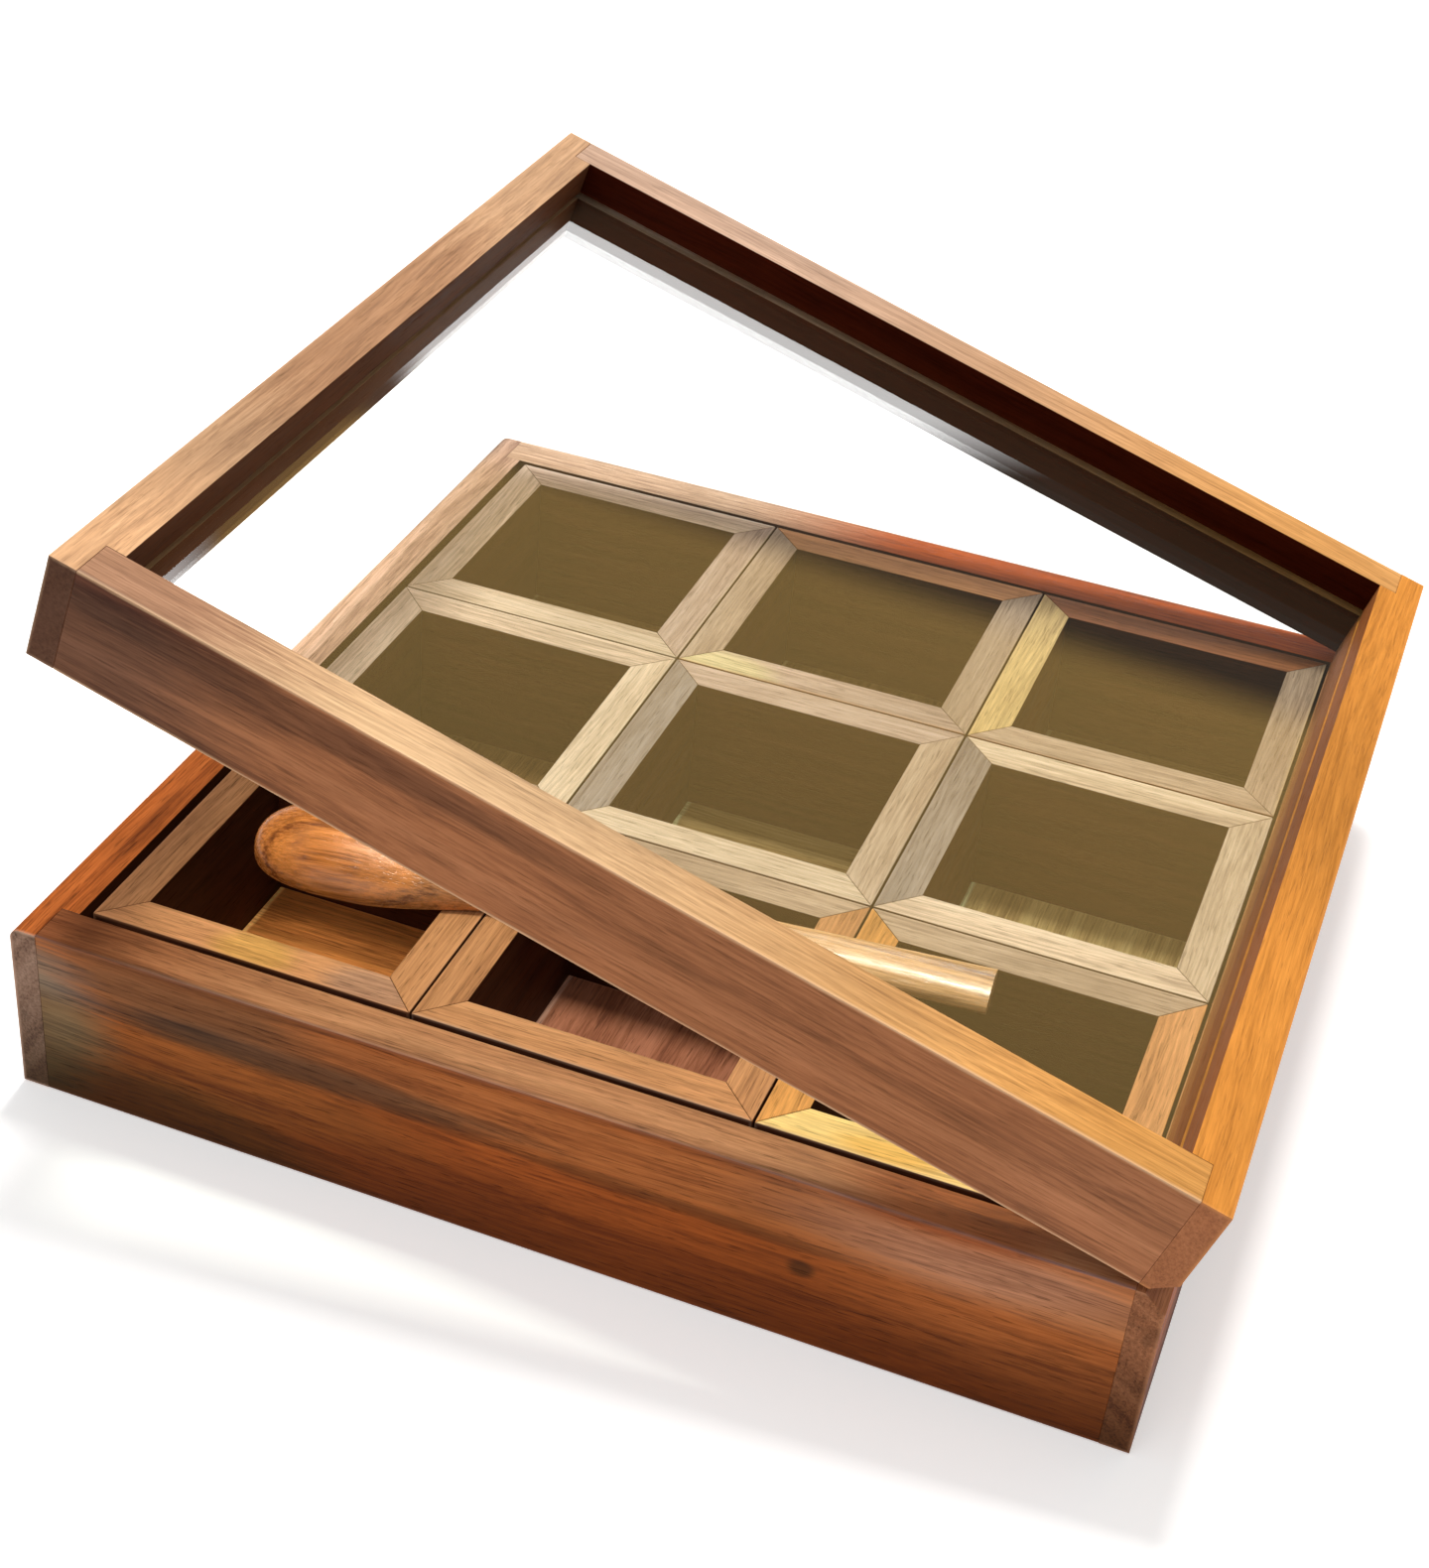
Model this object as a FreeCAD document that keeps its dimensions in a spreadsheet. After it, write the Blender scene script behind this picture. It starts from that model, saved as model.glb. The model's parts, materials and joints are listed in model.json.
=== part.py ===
import FreeCAD, Part
import os
import re

# Spice box: a square wooden box with a hinged, glazed lid, nine loose wooden cups and a spoon.
# Millimetres, +Z up. The origin is the centre of the base's underside. The opening side faces -Y
# and the hinges are on the +Y side. Every piece is made with the lid shut; the lid's pieces are
# then turned about the hinge pins to the angle at which the lid stands open.

DIMENSIONS = {
    # outer case
    "box_size": 200, "base_height": 34, "wall": 8.5,
    "joint_step": 3.5,        # depth of the rebate that takes the end of a side wall
    "panel": 3,               # bottom panel, let into a rebate of the same depth as joint_step
    "lid_height": 20, "lid_gap": 0.4, "lid_angle": 16.6,
    "edge_round": 2,          # rounding on the opening side's top outer edge
    # glass
    "glass": 3, "glass_drop": 7, "glass_slack": 0.1,
    # hinges
    "pivot_inset": 1, "bevel": 3.5, "hinge_length": 25, "hinge_offset": 60,
    "leaf": 0.8, "leaf_width": 4.9, "knuckle_radius": 1.6, "knuckle_length": 8, "knuckle_gap": 0.3,
    "pin_radius": 0.8, "fixed_bore": 0.82, "running_bore": 0.85,
    "screw_offset": 7, "screw_radius": 0.9, "screw_length": 8, "head_radius": 1.7,
    "pilot_slack": 0.05, "slot_width": 0.45, "slot_depth": 0.3,
    # cups
    "cup_size": 59.8, "cup_pitch": 60.2, "cup_wall": 7, "cup_floor": 3.2,
    "cup_bottom": 3.3, "cup_top": 34.6, "cups_shift_x": 0.7, "cups_shift_y": 0.8,
    # spoon
    "spoon_x": 59.3, "spoon_y": -74.4, "spoon_z": 34.9, "spoon_turn": 95,
    "hollow_centre": 20, "hollow_length": 13.5, "hollow_width": 9.2, "hollow_depth": 5.6,
}

doc = FreeCAD.newDocument("SpiceBox")
sheet = doc.addObject("Spreadsheet::Sheet", "Dims")
for row, (alias, value) in enumerate(DIMENSIONS.items(), start=1):
    sheet.set(f"A{row}", alias)
    sheet.set(f"B{row}", str(value))
    sheet.setAlias(f"B{row}", alias)
doc.recompute()

ALIASES = re.compile(r"\b(" + "|".join(DIMENSIONS) + r")\b")
LID_BOTTOM = "base_height + lid_gap"
PIVOT_Y = "box_size / 2 - pivot_inset"
PIVOT_Z = "base_height + lid_gap / 2"
pieces = []


def bind(obj, **expressions):
    """Ties properties to the spreadsheet; a double underscore stands for a dot."""
    for prop, expression in expressions.items():
        obj.setExpression(prop.replace("__", "."), ALIASES.sub(r"Dims.\1", expression))
    return obj


def place(obj, at, axis=(0, 0, 1), angle=0):
    obj.Placement = FreeCAD.Placement(FreeCAD.Vector(), FreeCAD.Rotation(FreeCAD.Vector(*axis), angle))
    return bind(obj, Placement__Base__x=at[0], Placement__Base__y=at[1], Placement__Base__z=at[2])


def box(low, size, axis=(0, 0, 1), angle=0):
    """A box from its low corner and its size, both given as expressions."""
    obj = doc.addObject("Part::Box", "Box")
    bind(obj, Length=size[0], Width=size[1], Height=size[2])
    return place(obj, low, axis, angle)


def cylinder(at, radius, length, axis=(0, 0, 1), angle=0):
    obj = doc.addObject("Part::Cylinder", "Cylinder")
    bind(obj, Radius=radius, Height=length)
    return place(obj, at, axis, angle)


def cone(at, lower, upper, height):
    obj = doc.addObject("Part::Cone", "Cone")
    bind(obj, Radius1=lower, Radius2=upper, Height=height)
    return place(obj, at)


def fuse(shapes):
    obj = doc.addObject("Part::MultiFuse", "Fuse")
    obj.Shapes = shapes
    return obj


def group(shapes):
    obj = doc.addObject("Part::Compound", "Group")
    obj.Links = shapes
    return obj


def cut(base, tools):
    obj = doc.addObject("Part::Cut", "Cut")
    obj.Base = base
    obj.Tool = tools[0] if len(tools) == 1 else fuse(tools)
    return obj


def piece(label, obj, on_lid=False):
    """Names a finished piece, and turns it to the open angle if it belongs to the lid."""
    if on_lid:
        obj = group([obj])
        bind(obj, Placement="placement(vector(0; 0; 0); rotation(vector(1; 0; 0); -lid_angle); "
                            f"vector(0; {PIVOT_Y}; {PIVOT_Z}))")
    obj.Label = label
    pieces.append(obj)


# --- case: four walls round the base, four rails round the lid ---
# The front and back pieces run the full width. Their ends are rebated on the inner side, and the
# ends of the left and right pieces sit in those rebates.

def long_wall(bottom, height, side):
    """A front (side -1) or back (side +1) piece with its two end rebates."""
    outer = "-box_size / 2" if side < 0 else "box_size / 2 - wall"
    step = "-box_size / 2 + wall - joint_step" if side < 0 else "box_size / 2 - wall - 1"
    blank = box(("-box_size / 2", outer, bottom), ("box_size", "wall", height))
    rebates = [
        box((low, step, f"{bottom} - 1"), ("wall + 1", "joint_step + 1", f"{height} + 2"))
        for low in ("-box_size / 2 - 1", "box_size / 2 - wall")
    ]
    return blank, rebates


def short_wall(bottom, height, side):
    """A left (side -1) or right (side +1) piece, as long as fits between the two rebates."""
    low = "-box_size / 2" if side < 0 else "box_size / 2 - wall"
    return box((low, "-box_size / 2 + wall - joint_step", bottom),
               ("wall", "box_size - 2 * (wall - joint_step)", height))


def inner_groove(bottom, height, depth, length, side, along_x):
    """A groove or rebate in a piece's inner face, centred on its length."""
    low = f"-box_size / 2 + wall - {depth}" if side < 0 else "box_size / 2 - wall - 1"
    start = f"-({length}) / 2"
    if along_x:
        return box((start, low, bottom), (length, f"{depth} + 1", height))
    return box((low, start, bottom), (f"{depth} + 1", length, height))


def back_bevel(edge, upper):
    """The tool that bevels a back piece's outer edge where base and lid meet."""
    depth = "(bevel + 2)"
    if upper:
        at = (f"box_size / 2 - bevel - 1 + {depth} * 0.7071", f"{edge} - 1 - {depth} * 0.7071")
    else:
        at = ("box_size / 2 - bevel - 1", f"{edge} + 1")
    return box(("-box_size / 2 - 1", *at), ("box_size + 2", "(bevel + 2) * 1.4142", depth),
               (1, 0, 0), 45 if upper else -45)


def leaf_mortises(low):
    """Pockets for both hinges' leaves, cut out through the back face."""
    return [
        box((f"{centre} - hinge_length / 2 - 0.1", f"{PIVOT_Y} - 2.1 - leaf_width - 0.1", low),
            ("hinge_length + 0.2", "leaf_width + 6", "leaf + 1"))
        for centre in ("-hinge_offset", "hinge_offset")
    ]


SCREW_Y = f"{PIVOT_Y} - 2.1 - leaf_width / 2"
SCREW_X = [f"{sign}hinge_offset {shift} screw_offset" for sign in ("-", "") for shift in "-+"]
FULL_INSIDE = "box_size - 2 * wall"
TO_REBATE = "box_size - 2 * (wall - joint_step)"

for label, side in (("base_front_wall", -1), ("base_back_wall", 1)):
    blank, tools = long_wall("0", "base_height", side)
    tools.append(inner_groove("-1", "panel + 1", "joint_step", FULL_INSIDE, side, True))
    if side < 0:
        corner = box(("-box_size / 2 - 1", "-box_size / 2 - 1", "base_height - edge_round"),
                     ("box_size + 2", "edge_round + 1", "edge_round + 1"))
        roller = cylinder(("-box_size / 2 - 2", "-box_size / 2 + edge_round", "base_height - edge_round"),
                          "edge_round", "box_size + 4", (0, 1, 0), 90)
        tools.append(cut(corner, [roller]))
    else:
        tools.append(back_bevel("base_height", upper=False))
        tools += leaf_mortises("base_height - leaf")
        tools += [cylinder((x, SCREW_Y, "base_height - screw_length - 0.3"),
                           "screw_radius + pilot_slack", "screw_length") for x in SCREW_X]
    piece(label, cut(blank, tools))

for label, side in (("base_left_wall", -1), ("base_right_wall", 1)):
    rebate = inner_groove("-1", "panel + 1", "joint_step", "box_size", side, False)
    piece(label, cut(short_wall("0", "base_height", side), [rebate]))

piece("base_bottom_panel", box((f"-({TO_REBATE}) / 2", f"-({TO_REBATE}) / 2", "0"),
                               (TO_REBATE, TO_REBATE, "panel")))

# --- lid: the glass stands in a groove all the way round ---
GLASS_BOTTOM = f"{LID_BOTTOM} + lid_height - glass_drop - glass"
GROOVE = (f"{GLASS_BOTTOM} - glass_slack", "glass + 2 * glass_slack", "(joint_step - 0.5)")

for label, side in (("lid_front_rail", -1), ("lid_back_rail", 1)):
    blank, tools = long_wall(LID_BOTTOM, "lid_height", side)
    tools.append(inner_groove(*GROOVE, FULL_INSIDE, side, True))
    if side > 0:
        tools.append(back_bevel(LID_BOTTOM, upper=True))
        tools += leaf_mortises(f"{LID_BOTTOM} - 1")
        tools += [cylinder((x, SCREW_Y, f"{LID_BOTTOM} + 0.3"),
                           "screw_radius + pilot_slack", "screw_length") for x in SCREW_X]
    piece(label, cut(blank, tools), on_lid=True)

for label, side in (("lid_left_rail", -1), ("lid_right_rail", 1)):
    groove = inner_groove(*GROOVE, "(box_size - 2 * wall + 2 * (joint_step - 0.5))", side, False)
    piece(label, cut(short_wall(LID_BOTTOM, "lid_height", side), [groove]), on_lid=True)

pane = "(box_size - 2 * wall + 2 * (joint_step - 0.5 - glass_slack))"
piece("lid_glass", box((f"-{pane} / 2", f"-{pane} / 2", GLASS_BOTTOM), (pane, pane, "glass")), on_lid=True)

# --- hinges: the fixed leaf carries the two outer knuckles and the pin, the lid's leaf the middle one ---
MIDDLE = "(hinge_length - 2 * knuckle_length - 2 * knuckle_gap)"


def leaf_plate(centre, low, knuckles, bore, flip):
    """A leaf: a plate, a tab and a knuckle for each (start, length), and countersunk holes."""
    x0 = f"{centre} - hinge_length / 2"
    solids = [box((x0, f"{PIVOT_Y} - 2.1 - leaf_width", low), ("hinge_length", "leaf_width", "leaf"))]
    for start, length in knuckles:
        solids.append(box((f"{x0} + {start}", f"{PIVOT_Y} - 2.2", low), (length, "2.2", "leaf")))
        solids.append(cylinder((f"{x0} + {start}", PIVOT_Y, PIVOT_Z), "knuckle_radius", length, (0, 1, 0), 90))
    holes = [cylinder((f"{x0} - 1", PIVOT_Y, PIVOT_Z), bore, "hinge_length + 2", (0, 1, 0), 90)]
    for shift in "-+":
        at = (f"{centre} {shift} screw_offset", SCREW_Y, low)
        narrow, wide = "screw_radius + pilot_slack", "head_radius + pilot_slack"
        holes.append(cone(at, wide if flip else narrow, narrow if flip else wide, "leaf"))
    return cut(fuse(solids), holes)


for name, centre in (("left", "-hinge_offset"), ("right", "hinge_offset")):
    outer = [("0", "knuckle_length"), ("hinge_length - knuckle_length", "knuckle_length")]
    piece(f"hinge_{name}_base_leaf",
          leaf_plate(centre, "base_height - leaf", outer, "fixed_bore", flip=False))
    piece(f"hinge_{name}_lid_leaf",
          leaf_plate(centre, LID_BOTTOM, [("knuckle_length + knuckle_gap", MIDDLE)], "running_bore",
                     flip=True), on_lid=True)
    piece(f"hinge_{name}_pin", cylinder((f"{centre} - hinge_length / 2", PIVOT_Y, PIVOT_Z),
                                        "pin_radius", "hinge_length", (0, 1, 0), 90))


def screw(x, face, up):
    """A slotted countersunk screw whose head is flush with the leaf's face."""
    tip = "1.6"
    shank = f"screw_length - leaf - {tip}"
    if up:
        solids = [cone((x, SCREW_Y, face), "head_radius", "screw_radius", "leaf"),
                  cylinder((x, SCREW_Y, f"{face} + leaf"), "screw_radius", shank),
                  cone((x, SCREW_Y, f"{face} + leaf + {shank}"), "screw_radius", "0.15", tip)]
        slot_low = f"{face} - 1"
    else:
        solids = [cone((x, SCREW_Y, f"{face} - leaf"), "screw_radius", "head_radius", "leaf"),
                  cylinder((x, SCREW_Y, f"{face} - leaf - ({shank})"), "screw_radius", shank),
                  cone((x, SCREW_Y, f"{face} - screw_length"), "0.15", "screw_radius", tip)]
        slot_low = f"{face} - slot_depth"
    slot = box((f"{x} - head_radius - 1", f"{SCREW_Y} - slot_width / 2", slot_low),
               ("2 * head_radius + 2", "slot_width", "slot_depth + 1"))
    return cut(fuse(solids), [slot])


piece("hinge_base_screws", group([screw(x, "base_height", up=False) for x in SCREW_X]))
piece("hinge_lid_screws", group([screw(x, LID_BOTTOM, up=True) for x in SCREW_X]), on_lid=True)


# --- cups: four mitred walls round a floor ---

def mitred_wall(x, y, angle):
    """One wall of a cup centred on x, y: its inner face is shorter than its outer by the mitres."""
    obj = doc.addObject("Part::Wedge", "Mitre")
    bind(obj, Xmin="-cup_size / 2", Xmax="cup_size / 2",
         X2min="-cup_size / 2 + cup_wall", X2max="cup_size / 2 - cup_wall",
         Ymin="-cup_size / 2", Ymax="-cup_size / 2 + cup_wall",
         Zmin="0", Z2min="0", Zmax="cup_top - cup_bottom", Z2max="cup_top - cup_bottom")
    return place(obj, (x, y, "cup_bottom"), (0, 0, 1), angle)


CUP_NAMES = (("front_left", "front_middle", "front_right"),
             ("middle_left", "centre", "middle_right"),
             ("back_left", "back_middle", "back_right"))
for j, names in enumerate(CUP_NAMES, start=-1):
    for i, name in enumerate(names, start=-1):
        x = f"cups_shift_x + {i} * cup_pitch"
        y = f"cups_shift_y + {j} * cup_pitch"
        floor = "(cup_size - 2 * cup_wall)"
        piece(f"cup_{name}_side_walls", group([mitred_wall(x, y, angle) for angle in (90, -90)]))
        piece(f"cup_{name}_end_walls", group([mitred_wall(x, y, angle) for angle in (0, 180)]))
        piece(f"cup_{name}_floor", box((f"{x} - {floor} / 2", f"{y} - {floor} / 2", "cup_bottom"),
                                       (floor, floor, "cup_floor")))

# --- spoon: lies bowl down across three cups ---
# Each section: distance from the tip, half width, half height, height of its centre.
SPOON_SECTIONS = (
    (0, 1.6, 1.0, 0.9), (1.2, 5.2, 3.2, 0.7), (4, 8.6, 5.2, 0.4), (9, 11, 7, 0.1), (17, 12, 7.8, 0),
    (25, 11.6, 7.4, 0), (33, 9.6, 6.2, 0.4), (41, 7, 4.7, 1.2), (50, 5, 3.3, 2), (60, 4.2, 2.6, 2.4),
    (70, 4.2, 2.5, 2.5), (80, 4.3, 2.5, 2.5), (90, 4.4, 2.5, 2.5), (100, 4.6, 2.5, 2.5),
    (110, 4.9, 2.5, 2.5), (121, 5.2, 2.5, 2.5), (132, 5.5, 2.5, 2.5),
)
sections = []
for distance, half_width, half_height, centre in SPOON_SECTIONS:
    oval = doc.addObject("Part::Ellipse", "Section")
    oval.MajorRadius = half_width
    oval.MinorRadius = half_height
    oval.Placement = FreeCAD.Placement(FreeCAD.Vector(distance, 0, centre),
                                       FreeCAD.Rotation(FreeCAD.Vector(1, 1, 1), 120))
    sections.append(oval)
loft = doc.addObject("Part::Loft", "SpoonLoft")
loft.Sections = sections
loft.Solid = True
hollow = doc.addObject("Part::Ellipsoid", "Hollow")
bind(hollow, Radius1="hollow_depth", Radius2="hollow_length", Radius3="hollow_width")
place(hollow, ("hollow_centre", "0", "0"))
below = box(("-5", "-20", "-15"), ("150", "40", "15"))
spoon = cut(loft, [hollow, below])
bind(spoon, Placement="placement(vector(spoon_x; spoon_y; spoon_z); rotation(vector(0; 0; 1); spoon_turn))")
piece("spoon", spoon)

doc.recompute()

for obj in doc.Objects:
    if {"Invalid", "Error"} & set(obj.State):
        raise RuntimeError(f"{obj.Label}: {obj.State}")

os.makedirs("parts", exist_ok=True)
for obj in pieces:
    shape = obj.Shape
    if shape.isNull() or not shape.isValid() or not shape.Solids:
        raise RuntimeError(f"{obj.Label}: bad shape")
    shape.exportStep(f"parts/{obj.Label}.step")
    print(f"{obj.Label:32s} solids {len(shape.Solids)}  volume {shape.Volume:9.1f}  "
          f"z {shape.BoundBox.ZMin:6.2f}..{shape.BoundBox.ZMax:6.2f}")
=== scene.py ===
import json
import math

import bpy
from mathutils import Matrix, Vector

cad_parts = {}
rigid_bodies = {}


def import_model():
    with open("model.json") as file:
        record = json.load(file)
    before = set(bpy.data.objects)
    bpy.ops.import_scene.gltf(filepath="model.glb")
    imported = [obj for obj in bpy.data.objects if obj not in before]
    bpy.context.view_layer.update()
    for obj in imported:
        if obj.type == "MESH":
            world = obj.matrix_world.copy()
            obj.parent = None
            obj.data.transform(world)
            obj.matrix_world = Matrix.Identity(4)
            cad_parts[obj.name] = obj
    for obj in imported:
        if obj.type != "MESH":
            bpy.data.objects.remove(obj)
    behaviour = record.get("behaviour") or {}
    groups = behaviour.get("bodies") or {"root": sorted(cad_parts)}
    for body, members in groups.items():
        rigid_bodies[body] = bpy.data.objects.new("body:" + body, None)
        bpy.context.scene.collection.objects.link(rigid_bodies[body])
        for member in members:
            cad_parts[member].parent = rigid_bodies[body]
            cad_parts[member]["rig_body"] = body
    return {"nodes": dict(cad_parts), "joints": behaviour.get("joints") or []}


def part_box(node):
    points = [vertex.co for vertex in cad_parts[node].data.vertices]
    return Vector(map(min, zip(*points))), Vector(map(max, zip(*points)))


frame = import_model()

# Spice box: an oiled hardwood case with a glazed lid, nine loose cups and a spoon.
# Metres, +Z up, origin at the centre of the underside, opening side towards -Y, hinges towards +Y.
# Colours are linear. Places on a board are in millimetres, with the lid shut.

bpy.context.view_layer.update()
NODES = frame["nodes"]
HINGE = next(joint for joint in frame["joints"] if joint["name"] == "lid_hinge")
LID_ANGLE = -math.radians(HINGE["range_deg"][0])
SPOON_TURN = math.radians(95)
MM = 1000.0
WHITE = (1, 1, 1)


# ---------- node trees ----------

class Tree:
    """A node tree of a material, lamp or world. Its calls take constants or sockets alike."""

    def __init__(self, owner):
        owner.use_nodes = True
        self.owner = owner
        self.nodes, self.links = owner.node_tree.nodes, owner.node_tree.links

    @classmethod
    def material(cls, name):
        tree = cls(bpy.data.materials.new(name))
        tree.nodes.clear()
        return tree

    def feed(self, socket, value):
        if isinstance(value, bpy.types.NodeSocket):
            self.links.new(value, socket)
        else:
            socket.default_value = value

    def node(self, kind, inputs=None, **settings):
        node = self.nodes.new(kind)
        for key, value in settings.items():
            setattr(node, key, value)
        for key, value in (inputs or {}).items():
            self.feed(node.inputs[key], value)
        return node

    def math(self, operation, a, b=0.0, clamp=False):
        return self.node("ShaderNodeMath", {0: a, 1: b}, operation=operation,
                         use_clamp=clamp).outputs[0]

    def vector(self, operation, a, b=(0, 0, 0)):
        node = self.node("ShaderNodeVectorMath", {0: a, 1: b}, operation=operation)
        return node.outputs["Value" if operation in ("LENGTH", "DOT_PRODUCT") else "Vector"]

    def combine(self, x, y, z):
        return self.node("ShaderNodeCombineXYZ", {0: x, 1: y, 2: z}).outputs[0]

    def split(self, vector):
        return self.node("ShaderNodeSeparateXYZ", {0: vector}).outputs

    def millimetres(self):
        """The object's own coordinates in millimetres."""
        coords = self.node("ShaderNodeTexCoord").outputs["Object"]
        return self.vector("MULTIPLY", coords, (MM, MM, MM))

    def noise(self, at, scale=1.0, detail=2.0, roughness=0.5, output="Fac", line=False):
        """Noise at a vector, or with line=True along a single value."""
        inputs = {"W" if line else "Vector": at, "Scale": scale, "Detail": detail,
                  "Roughness": roughness}
        node = self.node("ShaderNodeTexNoise", inputs, noise_dimensions="1D" if line else "3D")
        return node.outputs[output]

    def ramp(self, value, low, high, out_low=0.0, out_high=1.0):
        """value taken smoothly from low..high to out_low..out_high, held at the ends."""
        inputs = {"Value": value, "From Min": low, "From Max": high,
                  "To Min": out_low, "To Max": out_high}
        return self.node("ShaderNodeMapRange", inputs,
                         interpolation_type="SMOOTHSTEP").outputs["Result"]

    def mix(self, factor, a, b):
        """Colour a turned to colour b by the factor."""
        node = self.node("ShaderNodeMix", {0: factor}, data_type="RGBA", clamp_factor=True)
        for socket, value in ((node.inputs[6], a), (node.inputs[7], b)):
            self.feed(socket, value if isinstance(value, bpy.types.NodeSocket) else (*value, 1.0))
        return node.outputs[2]

    def colours(self, value, stops):
        node = self.node("ShaderNodeValToRGB", {0: value})
        ramp = node.color_ramp
        while len(ramp.elements) < len(stops):
            ramp.elements.new(0.5)
        for element, (position, colour) in zip(ramp.elements, stops):
            element.position = position
            element.color = (*colour, 1.0)
        return node.outputs[0]

    def scale_colour(self, colour, factor):
        return self.vector("MULTIPLY", colour, self.combine(factor, factor, factor))

    def finish(self, shader):
        self.node("ShaderNodeOutputMaterial", {"Surface": shader})
        return self.owner


# ---------- how each piece lies ----------

def closing():
    """The turn, in metres, that shuts the lid from the angle at which it stands open."""
    pivot = Vector(HINGE["pos_m"])
    turn = Matrix.Rotation(-LID_ANGLE, 4, Vector(HINGE["axis"]))
    return Matrix.Translation(pivot) @ turn @ Matrix.Translation(-pivot)


def local_matrix(node):
    """From the frame in metres to millimetres square with the piece."""
    if node == "spoon":
        turn = Matrix.Rotation(-SPOON_TURN, 4, "Z")
    elif NODES[node]["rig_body"] == "lid":
        turn = closing()
    else:
        turn = Matrix.Identity(4)
    return Matrix.Scale(MM, 4) @ turn


def outline(node, matrix):
    """Box of the case, the lid or the cup's four walls that the piece belongs to, or its own."""
    body = NODES[node]["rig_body"]
    if body in ("base", "lid"):
        mates = [other for other in NODES if other.startswith(body)]
    elif node.endswith("walls"):
        mates = [other for other, obj in NODES.items()
                 if obj["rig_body"] == body and other.endswith("walls")]
    else:
        mates = [node]
    points = [matrix @ vertex.co for mate in mates for vertex in NODES[mate].data.vertices]
    return (Vector(min(point[i] for point in points) for i in range(3)),
            Vector(max(point[i] for point in points) for i in range(3)))


# ---------- wood ----------

# Cycles per millimetre: the first along the grain, the other two across it.
WANDER, FIBRE, PORES = (0.008, 0.03, 0.03), (0.06, 1.7, 1.7), (0.2, 3.6, 3.6)
STREAKS, CLOUDS = (0.017, 0.15, 0.15), (0.012, 0.03, 0.03)
WANDER_MM = (0, 9, 9)
GRAIN_ORDER = {"x": (0, 1, 2), "y": (1, 0, 2)}
# How far the dark and the light tone lie from a board's usual red, green and blue.
DARKER, LIGHTER = (0.55, 0.62, 0.6), (0.32, 0.42, 0.55)
DARK_AT, MIDDLE_AT, LIGHT_AT = 0.36, 0.49, 0.62
# Noise levels between which pores and dark streaks come in, and how much colour a streak leaves.
PORE_LEVELS, STREAK_LEVELS, BURNT = (0.6, 0.72), (0.54, 0.7), 0.3
# How squarely a point has to look up, inward or along the grain to be top, inner face or end grain.
TOP_TURN, INNER_TURN, END_TURN = (0.45, 0.85), (0.4, 0.75), (0.5, 0.85)
# Patches hold stains and painted light and shade; each fades out between these shares of its radii,
# less what the figure bites off.
PATCH_EDGE, PATCH_BITE = (1.95, 1.15), 1.1
# An arris is worn and painted with a highlight between these distances in millimetres, and its
# colour is lifted.
WORN_GLINT_REACH, WORN_GLINT_BITE, WORN_GLINT_GAIN, WORN_GLINT_LIFT = (1.15, 0.4), 0.9, 1.5, 0.06
FIBRE_SHADE, CLOUD_SHADE = (0.86, 1.14), (0.86, 1.12)
WOOD_IOR, WOOD_BUMP, WOOD_RELIEF = 1.48, 0.35, 0.00012


def other_board(seed):
    """A place in the noise and a pith outside the board, that no other seed shares."""
    shift = (seed * 37.3, seed * 11.9 % 53, seed * 23.7 % 61)
    pith = (0, -37 - seed * 7.1 % 31, 29 + seed * 5.3 % 23)
    return shift, pith


def shades(base, spread):
    """Dark, middle and light tones of one board round its usual colour."""
    dark = tuple(c * (1 - cut * spread) for c, cut in zip(base, DARKER))
    light = tuple(c * (1 + lift * spread) for c, lift in zip(base, LIGHTER))
    return dark, base, light


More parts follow.
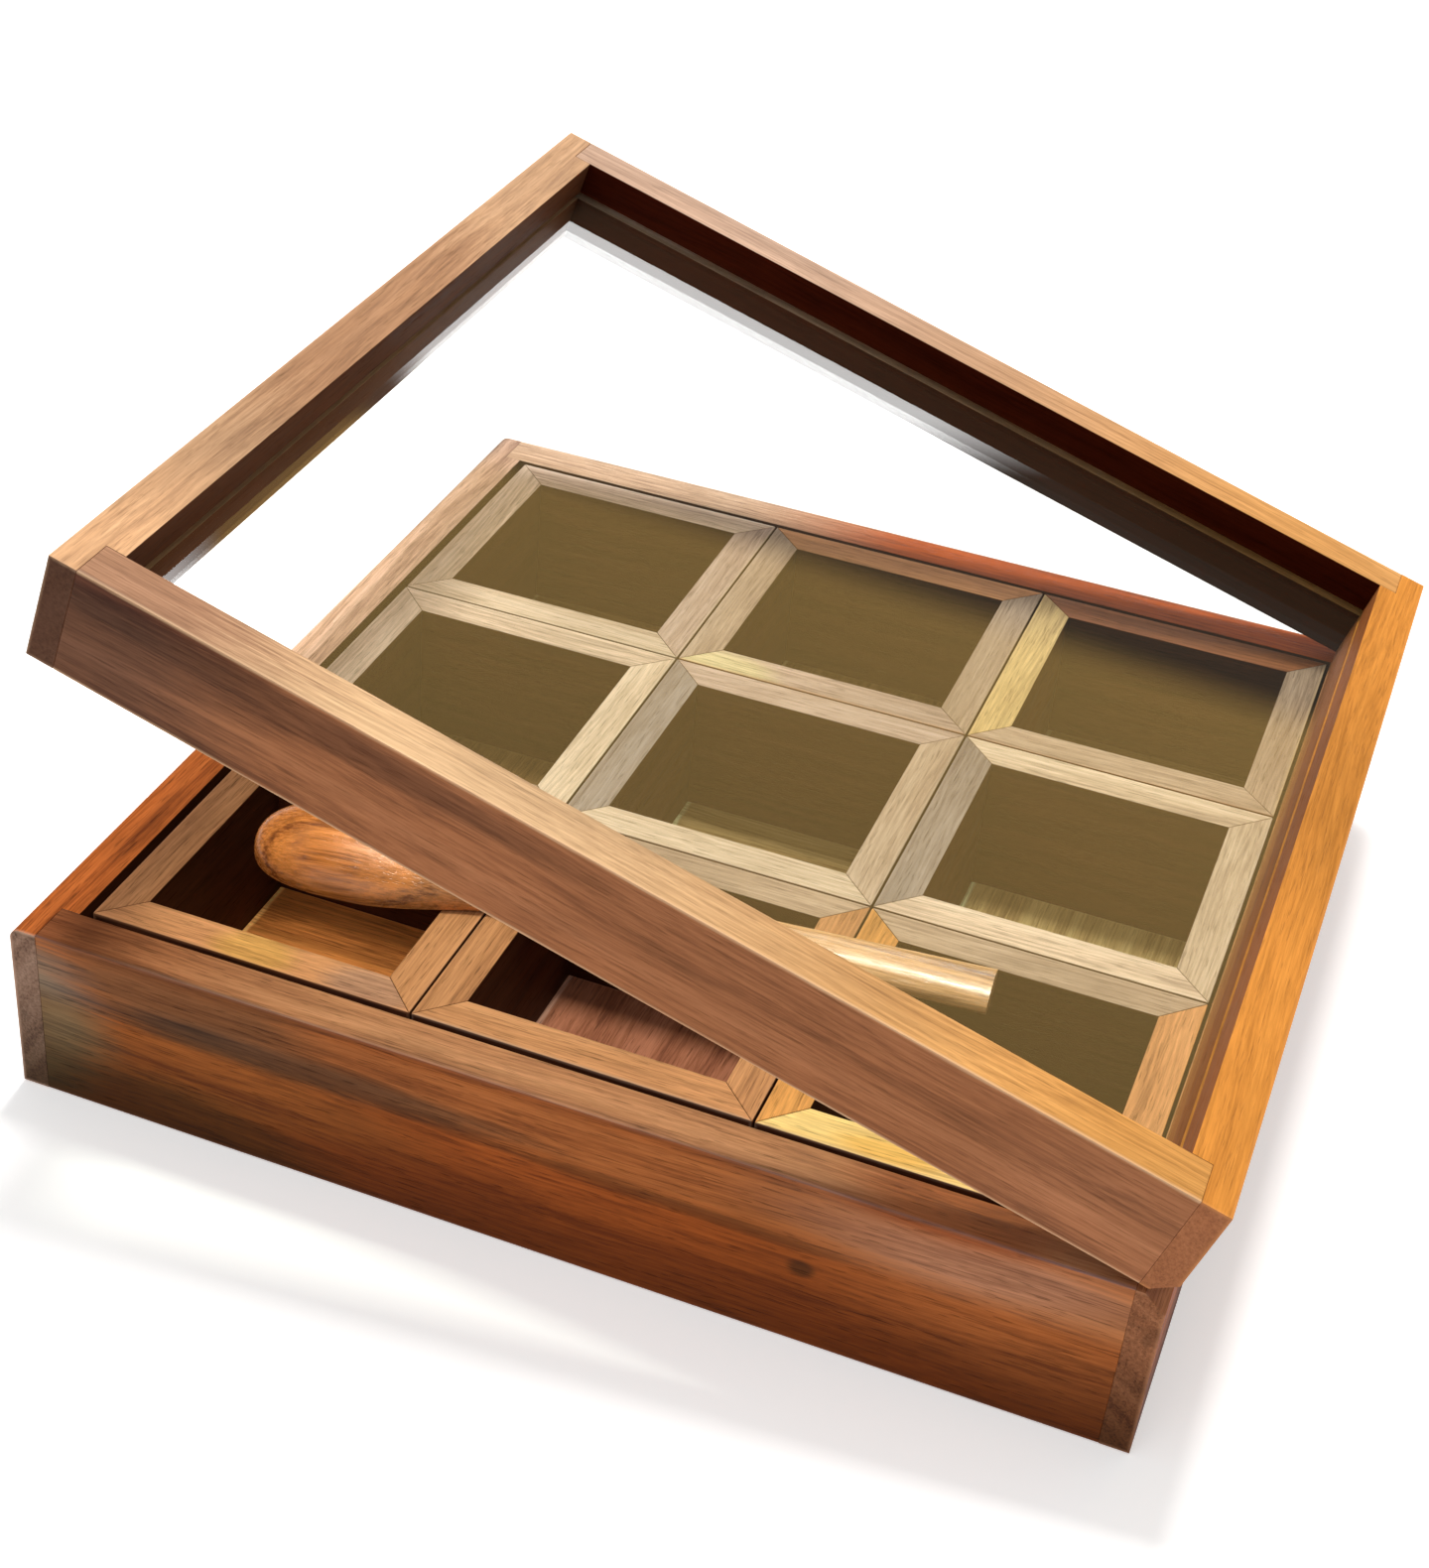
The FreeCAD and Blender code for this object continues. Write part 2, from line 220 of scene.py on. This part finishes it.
def wood(node, seed, grain, face, top=None, far_top=None, end=None, inner=None, inner_side=None,
         spread=0.8, streaks=0.5, gloss=0.5, shine=0.05, rub_and_glint=0.3, fade=None, patches=(),
         band=0.22, pitted=0.62):
    """Oiled rosewood: growth bands round a pith outside the board, fibre, pores and dark streaks.

    face, top, end and inner are the colours of the outer faces, of those that look up when the
    piece is shut, of the end grain and of those that look along inner_side; the lighter tops and
    darker inner faces are painted light and shade. far_top is the colour that the top turns to
    along an axis: (axis, low, high, colour). spread is the contrast of the figure, band its growth
    rings per millimetre, streaks the strength of the dark streaks and pitted the darkness of the
    pores. gloss is the roughness, shine the specular level and rub_and_glint the paleness of the
    arrises, worn and painted as a highlight. fade darkens the foot as painted shade: (low, high,
    factor). patches are stains and painted light and shade: (centre, radii, factor).
    """
    tree = Tree.material("wood_" + node)
    matrix = local_matrix(node)
    rotation = matrix.to_quaternion().to_euler()
    coords = tree.node("ShaderNodeTexCoord")
    place = tree.node("ShaderNodeMapping", {
        0: coords.outputs["Object"], "Location": matrix.to_translation(), "Rotation": rotation,
        "Scale": (MM, MM, MM)}).outputs[0]
    normal = tree.node("ShaderNodeMapping", {
        0: coords.outputs["Normal"], "Rotation": rotation}).outputs[0]
    parts = tree.split(place)
    order = GRAIN_ORDER[grain]
    shift, pith = other_board(seed)
    board = tree.vector("ADD", tree.combine(*(parts[i] for i in order)), shift)

    # The grain wanders slowly, and the growth bands are rings about the pith.
    wander = tree.noise(tree.vector("MULTIPLY", board, WANDER), output="Color")
    wander = tree.vector("MULTIPLY", tree.vector("SUBTRACT", wander, (0.5, 0.5, 0.5)), WANDER_MM)
    bent = tree.vector("ADD", board, wander)
    from_pith = tree.vector("MULTIPLY", tree.vector("ADD", bent, pith), (0, 1, 1))
    bands = tree.noise(tree.vector("LENGTH", from_pith), scale=band, detail=4, roughness=0.62,
                       line=True)
    fibre = tree.noise(tree.vector("MULTIPLY", bent, FIBRE), detail=4, roughness=0.7)
    pores = tree.ramp(tree.noise(tree.vector("MULTIPLY", board, PORES), detail=1), *PORE_LEVELS)
    dark = tree.noise(tree.vector("MULTIPLY", bent, STREAKS), detail=5, roughness=0.6)
    dark = tree.ramp(dark, *STREAK_LEVELS)
    clouds = tree.noise(tree.vector("MULTIPLY", board, CLOUDS), detail=1)
    figure = tree.math("ADD", tree.math("MULTIPLY", bands, 0.5), tree.math("MULTIPLY", fibre, 0.5))

    def tone(base):
        return tree.colours(figure, tuple(zip((DARK_AT, MIDDLE_AT, LIGHT_AT),
                                              shades(base, spread))))

    # Which face of the piece it is: the tops and inner faces take lit and shaded tones as painted
    # light and shade, the end grain its own tone.
    colour = tone(face)
    if inner:
        inside = tree.ramp(tree.vector("DOT_PRODUCT", normal, inner_side), *INNER_TURN)
        colour = tree.mix(inside, colour, tone(inner))
    if top:
        over = tone(top)
        if far_top:
            axis, low_end, high_end, far_colour = far_top
            over = tree.mix(tree.ramp(parts[axis], low_end, high_end), over, tone(far_colour))
        colour = tree.mix(tree.ramp(tree.split(normal)[2], *TOP_TURN), colour, over)
    if end:
        across = tree.math("ABSOLUTE", tree.split(normal)[order[0]])
        colour = tree.mix(tree.ramp(across, *END_TURN), colour, tone(end))

    # Streaks, stains and painted light and shade, the painted shade at the foot, fibre, clouds and
    # pores.
    burnt = tree.scale_colour(colour, BURNT)
    colour = tree.mix(tree.math("MULTIPLY", dark, streaks), colour, burnt)
    for centre, radii, factor in patches:
        away = tree.vector("DIVIDE", tree.vector("SUBTRACT", place, centre), radii)
        bitten = tree.math("MULTIPLY", figure, PATCH_BITE)
        ragged = tree.math("ADD", tree.vector("LENGTH", away), bitten)
        stain_and_light = tree.mix(tree.ramp(ragged, *PATCH_EDGE), WHITE, factor)
        colour = tree.vector("MULTIPLY", colour, stain_and_light)
    if fade:
        low_end, high_end, factor = fade
        foot = tree.mix(tree.ramp(parts[2], low_end, high_end), factor, WHITE)
        colour = tree.vector("MULTIPLY", colour, foot)
    shade = tree.math("MULTIPLY", tree.ramp(fibre, 0.25, 0.75, *FIBRE_SHADE),
                      tree.ramp(clouds, 0.3, 0.7, *CLOUD_SHADE))
    shade = tree.math("MULTIPLY", shade, tree.ramp(pores, 0, 1, 1.0, pitted))
    colour = tree.scale_colour(colour, shade)

    # Arrises are painted paler, as worn edges and as a painted highlight: the nearest one is as far
    # as the middle of the three distances.
    low, high = outline(node, matrix)
    gaps = tree.split(tree.vector("MINIMUM", tree.vector("SUBTRACT", place, low),
                                  tree.vector("SUBTRACT", high, place)))
    near = tree.math("MAXIMUM", tree.math("MINIMUM", gaps[0], gaps[1]),
                     tree.math("MINIMUM", tree.math("MAXIMUM", gaps[0], gaps[1]), gaps[2]))
    worn_glint = tree.ramp(tree.math("ADD", near, tree.math("MULTIPLY", fibre, WORN_GLINT_BITE)),
                       *WORN_GLINT_REACH, 0.0, rub_and_glint)
    pale = tuple(min(1.0, c * WORN_GLINT_GAIN + WORN_GLINT_LIFT) for c in (top or face))
    colour = tree.mix(worn_glint, colour, pale)

    rough = tree.ramp(fibre, 0.2, 0.8, gloss - 0.07, gloss + 0.1)
    rough = tree.math("ADD", rough, tree.math("MULTIPLY", pores, 0.15), clamp=True)
    height = tree.math("SUBTRACT", tree.math("MULTIPLY", fibre, 0.5), pores)
    bump = tree.node("ShaderNodeBump", {
        "Strength": WOOD_BUMP, "Distance": WOOD_RELIEF, "Height": height})
    shader = tree.node("ShaderNodeBsdfPrincipled", {
        "Base Color": colour, "Roughness": rough, "IOR": WOOD_IOR, "Specular IOR Level": shine,
        "Normal": bump.outputs[0]})
    return tree.finish(shader.outputs[0])


# ---------- brass and glass ----------

def brass(name, stretch):
    """Brass dulled in places. stretch scales its fine marks along X, Y and Z."""
    tree = Tree.material(name)
    place = tree.millimetres()
    tarnish = tree.ramp(tree.noise(place, scale=0.35, detail=4, roughness=0.6), 0.4, 0.7)
    brushed = tree.noise(tree.vector("MULTIPLY", place, stretch), scale=2)
    colour = tree.mix(tarnish, (0.80, 0.56, 0.24), (0.42, 0.27, 0.11))
    rough = tree.math("ADD", tree.ramp(brushed, 0.3, 0.7, 0.24, 0.38),
                      tree.math("MULTIPLY", tarnish, 0.2))
    bump = tree.node("ShaderNodeBump", {"Strength": 0.2, "Distance": 0.00005, "Height": brushed})
    shader = tree.node("ShaderNodeBsdfPrincipled", {
        "Base Color": colour, "Metallic": 1.0, "Roughness": rough, "Normal": bump.outputs[0]})
    return tree.finish(shader.outputs[0])


DUST_FILM = 0.008
GLASS_IOR = 1.5


def pane():
    """Clear float glass with a faint film of dust. Lamps and scattered light pass straight on."""
    tree = Tree.material("glass_pane")
    smudge = tree.noise(tree.millimetres(), scale=0.03, detail=4, roughness=0.6)
    clear = tree.node("ShaderNodeBsdfPrincipled", {
        "Base Color": (0.97, 0.98, 0.97, 1.0), "Roughness": 0.0, "IOR": GLASS_IOR,
        "Transmission Weight": 1.0})
    dust = tree.node("ShaderNodeBsdfDiffuse", {
        "Color": tree.mix(smudge, (0.62, 0.52, 0.30), (0.80, 0.70, 0.46))})
    film = tree.node("ShaderNodeMixShader", {0: DUST_FILM, 1: clear.outputs[0], 2: dust.outputs[0]})
    let_by = tree.node("ShaderNodeBsdfTransparent", {"Color": (0.9, 0.93, 0.88, 1.0)})
    path = tree.node("ShaderNodeLightPath")
    soft = tree.math("MAXIMUM", path.outputs["Is Shadow Ray"], path.outputs["Is Diffuse Ray"])
    both = tree.node("ShaderNodeMixShader", {0: soft, 1: film.outputs[0], 2: let_by.outputs[0]})
    return tree.finish(both.outputs[0])


# ---------- which board each piece is cut from ----------

# Lit and shaded copies of the wood: the tops are painted lighter as painted light, and the outer
# faces, the inner faces and the cups' walls darker as painted shade.
CASE_FACE, CASE_TOP = (0.31, 0.072, 0.012), (0.38, 0.165, 0.072)
CASE_INNER_SHADE, CUP_WALL_SHADE = (0.09, 0.026, 0.010), (0.085, 0.027, 0.012)
LID_FACE, LID_INNER_SHADE = (0.30, 0.114, 0.047), (0.046, 0.0058, 0.0013)
# The cups' floors: the darkest tone paints the shade deep in the cups, and the brightest red one
# paints the light falling on the front right cup's floor.
DEEP_SHADE, OLIVE, STRAW = (0.15, 0.08, 0.03), (0.27, 0.17, 0.07), (0.45, 0.30, 0.13)
LIT_RUSSET, PLUM = (0.68, 0.22, 0.05), (0.36, 0.125, 0.066)
# The cups' rims.
TAN, BUFF, ROSE = (0.42, 0.288, 0.205), (0.59, 0.43, 0.31), (0.48, 0.33, 0.26)
GREY, PALE, SAPWOOD = (0.30, 0.228, 0.19), (0.70, 0.51, 0.38), (0.55, 0.37, 0.17)
GOLD, AMBER, CHESTNUT = (0.90, 0.58, 0.21), (0.60, 0.26, 0.07), (0.53, 0.235, 0.097)
BROWN, UMBER = (0.40, 0.175, 0.07), (0.30, 0.105, 0.042)

# Painted shade: the case's walls are darker towards their foot.
SHADED_FOOT = (0, 26, (0.40, 0.36, 0.28))
HANDLE_FROM_MIDDLE = Vector((62, 0, 0))
SPOON_LOW, SPOON_HIGH = (Vector(corner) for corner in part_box("spoon"))
# Painted highlight: the spoon's handle is painted paler round this point.
HANDLE_HIGHLIGHT = tuple(local_matrix("spoon") @ ((SPOON_LOW + SPOON_HIGH) / 2) + HANDLE_FROM_MIDDLE)

BASE = dict(face=CASE_FACE, inner=CASE_INNER_SHADE, fade=SHADED_FOOT, streaks=0.5)
LID = dict(face=LID_FACE, inner=LID_INNER_SHADE, pitted=0.82)
BOARDS = {
    "base_right_wall": dict(
        BASE, seed=3, grain="y", inner_side=(-1, 0, 0), top=(0.21, 0.066, 0.022),
        far_top=(1, -95, -35, CASE_TOP), streaks=0.38, spread=0.7,
        # Painted sheen: this greyish lift paints reflected light at the left end of the +X face.
        patches=(((100, -102, 16), (0.8, 18, 17), (0.75, 1.7, 4.2)),
                 ((100, -74, 2), (0.8, 34, 8), (0.58, 0.78, 0.85)),
                 # Painted sheen along the top of the +X face.
                 ((100, 0, 27.5), (0.8, 200, 6.2), (1.0, 1.3, 2.0)),
                 ((100, -68, 31), (0.8, 24, 9), (0.6, 0.72, 0.95)),
                 ((100, 96, 24), (0.8, 46, 20), (1.3, 1.6, 2.3)),
                 ((100, 64, 30), (0.8, 30, 8), (1.0, 1.15, 1.6)),
                 ((100, -62, 15), (0.8, 36, 7), (1.1, 1.35, 1.55)),
                 ((100, -45, 23.5), (0.8, 40, 3.0), (0.42, 0.52, 0.75)),
                 ((100, 20, 21), (0.8, 30, 1.5), (0.6, 0.65, 0.7)),
                 # Painted shadow of the lid on the top near the hinge.
                 ((95.7, 66, 36), (20, 18, 5), (0.7, 0.5, 0.36)),
                 ((100, 44, 16), (0.8, 2.2, 1.6), (0.4, 0.5, 0.7)))),
    "base_left_wall": dict(
        BASE, seed=8, grain="y", inner_side=(1, 0, 0), top=(0.60, 0.39, 0.25),
        far_top=(1, -45, 2, (0.41, 0.078, 0.010))),
    "base_front_wall": dict(
        BASE, seed=5, grain="x", inner_side=(0, 1, 0), top=(0.60, 0.37, 0.25),
        far_top=(0, 12, 40, (0.40, 0.10, 0.019)), end=(0.20, 0.115, 0.075), streaks=0.4),
    "base_back_wall": dict(
        BASE, seed=12, grain="x", inner_side=(0, -1, 0), top=CASE_TOP, end=(0.23, 0.088, 0.038)),
    "base_bottom_panel": dict(seed=15, grain="y", face=(0.20, 0.075, 0.03), streaks=0.4, gloss=0.6),
    "lid_right_rail": dict(
        LID, seed=21, grain="y", inner_side=(-1, 0, 0), top=(0.57, 0.36, 0.19),
        # The near rail's arrises are painted paler still, as worn edges and as a painted highlight
        # along its outer top edge.
        far_top=(1, -30, 85, (0.54, 0.25, 0.065)), streaks=0.3, spread=0.5, rub_and_glint=0.55,
        patches=(((100, -108, 42), (0.8, 40, 24), (0.55, 0.62, 0.8)),
                 ((100, -62, 50.5), (0.8, 50, 3.2), (0.52, 0.52, 0.55)),
                 ((100, 94, 40), (0.8, 26, 14), (1.25, 1.3, 1.4)),
                 ((95.7, -104, 56), (30, 44, 5), (0.62, 0.5, 0.52)))),
    "lid_left_rail": dict(
        LID, seed=24, grain="y", inner_side=(1, 0, 0), top=(0.48, 0.31, 0.215),
        far_top=(1, -60, 75, (0.48, 0.235, 0.076)), streaks=0.2, spread=0.4, shine=0.02),
    "lid_front_rail": dict(
        LID, seed=27, grain="x", inner_side=(0, 1, 0), inner=(0.14, 0.05, 0.022),
        top=(0.425, 0.25, 0.136), far_top=(0, 45, 95, (0.60, 0.34, 0.175)),
        end=(0.085, 0.038, 0.022), streaks=0.15, spread=0.35, shine=0.03,
        patches=(((-2, -95.7, 56), (44, 20, 5), (0.74, 0.66, 0.62)),)),
    "lid_back_rail": dict(
        LID, seed=31, grain="x", inner_side=(0, -1, 0), inner=(0.30, 0.10, 0.030),
        top=(0.53, 0.205, 0.036), end=(0.30, 0.112, 0.047), streaks=0.06, spread=0.3),
    "spoon": dict(
        seed=41, grain="x", face=(0.50, 0.155, 0.030), streaks=0.7, gloss=0.25, shine=0.5,
        band=0.5, rub_and_glint=0.0, spread=1.1, pitted=0.85,
        patches=((HANDLE_HIGHLIGHT, (85, 30, 30), (1.15, 1.9, 4.0)),)),
}

# The tones of each cup's rims at -Y, +Y, -X and +X, and of its floor.
# The rims' tones are partly the wood's own and partly painted light and shade: rims that lie in
# shade are painted lighter.
CUPS = {
    "front_left": (BUFF, ROSE, PALE, BUFF, DEEP_SHADE),
    "front_middle": (PALE, BUFF, PALE, TAN, DEEP_SHADE),
    "front_right": (CHESTNUT, BROWN, BROWN, CHESTNUT, LIT_RUSSET),
    "middle_left": (TAN, TAN, CHESTNUT, ROSE, DEEP_SHADE),
    "centre": (GREY, TAN, ROSE, BUFF, OLIVE),
    "middle_right": (BROWN, CHESTNUT, TAN, CHESTNUT, PLUM),
    "back_left": (SAPWOOD, TAN, UMBER, TAN, DEEP_SHADE),
    "back_middle": (GREY, BUFF, BUFF, PALE, STRAW),
    "back_right": (AMBER, CHESTNUT, TAN, GOLD, DEEP_SHADE),
}
RIM_STAINS = {
    "front_right": (((88, -60, 34.6), (5, 7, 1), (1.0, 1.12, 0.75)),
                    ((88, -38, 34.6), (5, 8, 1), (0.7, 0.8, 1.1))),
    "back_right": (((88, 52, 34.6), (2.5, 9, 1), (0.85, 0.72, 0.5)),
                   ((88, 72, 34.6), (3, 6, 1), (0.9, 0.8, 0.65))),
    "middle_left": (((-30, -20, 34.6), (6, 10, 1), (1.3, 1.5, 1.1)),),
}
FLOOR_TOP = 6.5
for number, (cup, (front, back, left, right, floor)) in enumerate(CUPS.items()):
    low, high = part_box(f"cup_{cup}_floor")
    x, y = ((low[i] + high[i]) / 2 * MM for i in range(2))
    rims = dict(face=CUP_WALL_SHADE, streaks=0.3, spread=0.6)
    BOARDS[f"cup_{cup}_side_walls"] = dict(
        rims, seed=50 + number, grain="y", top=left, far_top=(0, x - 1, x + 1, right),
        patches=RIM_STAINS.get(cup, ()))
    BOARDS[f"cup_{cup}_end_walls"] = dict(
        rims, seed=70 + number, grain="x", top=front, far_top=(1, y - 1, y + 1, back))
    # Painted highlight: a pale line where the floor meets the -Y wall.
    BOARDS[f"cup_{cup}_floor"] = dict(
        seed=90 + number, grain="yx"[number % 2], face=floor, streaks=0.6, band=0.35,
        patches=(((x, low[1] * MM, FLOOR_TOP), (60, 1.0, 2), (2, 3, 4)),))


def cover(obj, material):
    obj.data.materials.clear()
    obj.data.materials.append(material)


for node, board in BOARDS.items():
    cover(NODES[node], wood(node, **board))
ROLLED, TURNED = (0.3, 4, 4), (3, 3, 3)
plate, screw = brass("brass_plate", ROLLED), brass("brass_screw", TURNED)
for node, obj in NODES.items():
    if node.startswith("hinge"):
        cover(obj, screw if "screws" in node else plate)
cover(NODES["lid_glass"], pane())

# ---------- eased arrises on the boards ----------

WELD_DISTANCE, CUP_ARRIS, CASE_ARRIS = 0.000002, 0.0002, 0.00016
for node in BOARDS:
    weld = NODES[node].modifiers.new("weld", "WELD")
    weld.merge_threshold = WELD_DISTANCE
    if node == "spoon":
        continue
    bevel = NODES[node].modifiers.new("arris", "BEVEL")
    bevel.width = CUP_ARRIS if node.startswith("cup") else CASE_ARRIS
    bevel.segments = 2
    bevel.limit_method = "ANGLE"
    bevel.angle_limit = math.radians(35)
    bevel.harden_normals = True
    bevel.loop_slide = False

# ---------- table ----------

HALF_TABLE, TABLE_HEIGHT, TABLE_GLOW = 12.0, -0.0003, 0.42
mesh = bpy.data.meshes.new("table")
mesh.from_pydata([(x * HALF_TABLE, y * HALF_TABLE, TABLE_HEIGHT)
                  for x, y in ((-1, -1), (1, -1), (1, 1), (-1, 1))], [], [(0, 1, 2, 3)])
table = bpy.data.objects.new("table", mesh)
bpy.context.scene.collection.objects.link(table)
tree = Tree.material("pale_lit_table")
spot = tree.noise(tree.node("ShaderNodeTexCoord").outputs["Object"], scale=3.0, detail=3)
table.data.materials.append(tree.finish(tree.node("ShaderNodeBsdfPrincipled", {
    "Base Color": tree.mix(spot, (0.90, 0.90, 0.90), (0.93, 0.93, 0.925)),
    "Roughness": 0.75, "Specular IOR Level": 0.1,
    "Emission Color": (*WHITE, 1.0), "Emission Strength": TABLE_GLOW}).outputs[0]))

# ---------- light ----------

def lamp(name, at, size, power, colour=WHITE, target=None, axes=None):
    """A softbox, turned to the target or given its own width and height directions."""
    light = bpy.data.lights.new(name, "AREA")
    light.shape = "RECTANGLE"
    light.size, light.size_y = size
    light.energy = power
    light.color = colour
    if axes:
        across, upward = (Vector(axis).normalized() for axis in axes)
        turn = Matrix((across, upward, across.cross(upward))).transposed()
    else:
        turn = (Vector(target) - Vector(at)).to_track_quat("-Z", "Y").to_matrix()
    obj = bpy.data.objects.new(name, light)
    obj.matrix_world = Matrix.Translation(at) @ turn.to_4x4()
    obj.visible_camera = False
    bpy.context.scene.collection.objects.link(obj)
    return light


lamp("key", (-0.36, -0.05, 1.35), (0.24, 0.24), 16.0, (1.0, 0.98, 0.95), target=(0, 0, 0.03))
lamp("overhead", (0.1, 0.0, 1.5), (2.6, 2.6), 16.0, target=(0.1, 0, 0))
lamp("front_fill", (1.3, -0.2, 0.8), (1.0, 1.0), 4.0, target=(0, 0, 0.03))

# Panels beyond the -X side, where the open lid's glass mirrors them: a white one low down, a warm
# one above it with its edge along the same sloping line, and a small white one higher still.
MIRRORED = Vector((-1.0, -0.03, 0.70))
EDGE, ACROSS = Vector((0, 0.777, -0.629)), Vector((0, -0.629, -0.777))


def panel(name, along, across, size, power, colour=WHITE, turn=0.0, nearer=0.0, soft=0.035):
    """A panel round the point MIRRORED, along the line EDGE and across it, with faded borders."""
    at = MIRRORED + along * EDGE + across * ACROSS + Vector((nearer, 0, 0))
    turned = Matrix.Rotation(math.radians(turn), 3, EDGE.cross(ACROSS))
    light = lamp(name, at, size, power, colour, axes=(turned @ EDGE, turned @ ACROSS))
    tree = Tree(light)
    place = tree.split(tree.node("ShaderNodeNewGeometry").outputs["Parametric"])
    faded = (tree.ramp(tree.math("PINGPONG", place[axis], 0.5), 0.0, soft / size[axis])
             for axis in range(2))
    tree.feed(tree.nodes["Emission"].inputs["Strength"], tree.math("MULTIPLY", *faded))


panel("white_panel", -0.08, 0.18, (0.68, 0.38), 4.3)
panel("warm_panel", 0.048, -0.298, (0.90, 0.46), 1.35, (1.0, 0.60, 0.14), turn=-10)
panel("high_panel", -0.46, -0.30, (0.26, 0.46), 2.0, nearer=0.03, soft=0.06)

# The room behind the table is as pale as the table's far end, and lights nothing.
DIM_LIGHT, ROOM_GLOW = 0.06, 0.48
world = bpy.data.worlds.new("studio")
tree = Tree(world)
dim = tree.nodes["Background"]
tree.feed(dim.inputs["Color"], (0.92, 0.95, 1.0, 1.0))
tree.feed(dim.inputs["Strength"], DIM_LIGHT)
pale = tree.node("ShaderNodeBackground", {"Color": (*WHITE, 1.0), "Strength": ROOM_GLOW})
seen = tree.node("ShaderNodeLightPath").outputs["Is Camera Ray"]
room = tree.node("ShaderNodeMixShader", {0: seen, 1: dim.outputs[0], 2: pale.outputs[0]})
tree.feed(tree.nodes["World Output"].inputs["Surface"], room.outputs[0])
bpy.context.scene.world = world

# ---------- camera, fitted to the photograph ----------

# The shift is the photograph's own framing: its optical axis lies a little off the middle.
LENS_MM, SENSOR_MM = 58.7415, 36.0
SHIFT_X, SHIFT_Y = 0.0443, 0.02025
CAMERA_AT = (0.382403, 0.110233, 0.308380)
LOOKING, RIGHTWARD = Vector((-0.76764, -0.26700, -0.58261)), Vector((-0.37066, 0.92658, 0.06375))
camera_data = bpy.data.cameras.new("camera")
camera_data.sensor_width = SENSOR_MM
camera_data.lens = LENS_MM
camera_data.shift_x = SHIFT_X
camera_data.shift_y = SHIFT_Y
camera_data.clip_start = 0.01
camera_data.clip_end = 50.0
camera = bpy.data.objects.new("camera", camera_data)
forward = LOOKING.normalized()
right = (RIGHTWARD - forward * RIGHTWARD.dot(forward)).normalized()
axes = Matrix((right, right.cross(forward), -forward)).transposed()
camera.matrix_world = Matrix.Translation(CAMERA_AT) @ axes.to_4x4()
bpy.context.scene.collection.objects.link(camera)
bpy.context.scene.camera = camera
bpy.context.scene.view_settings.view_transform = "Standard"

bpy.context.view_layer.update()
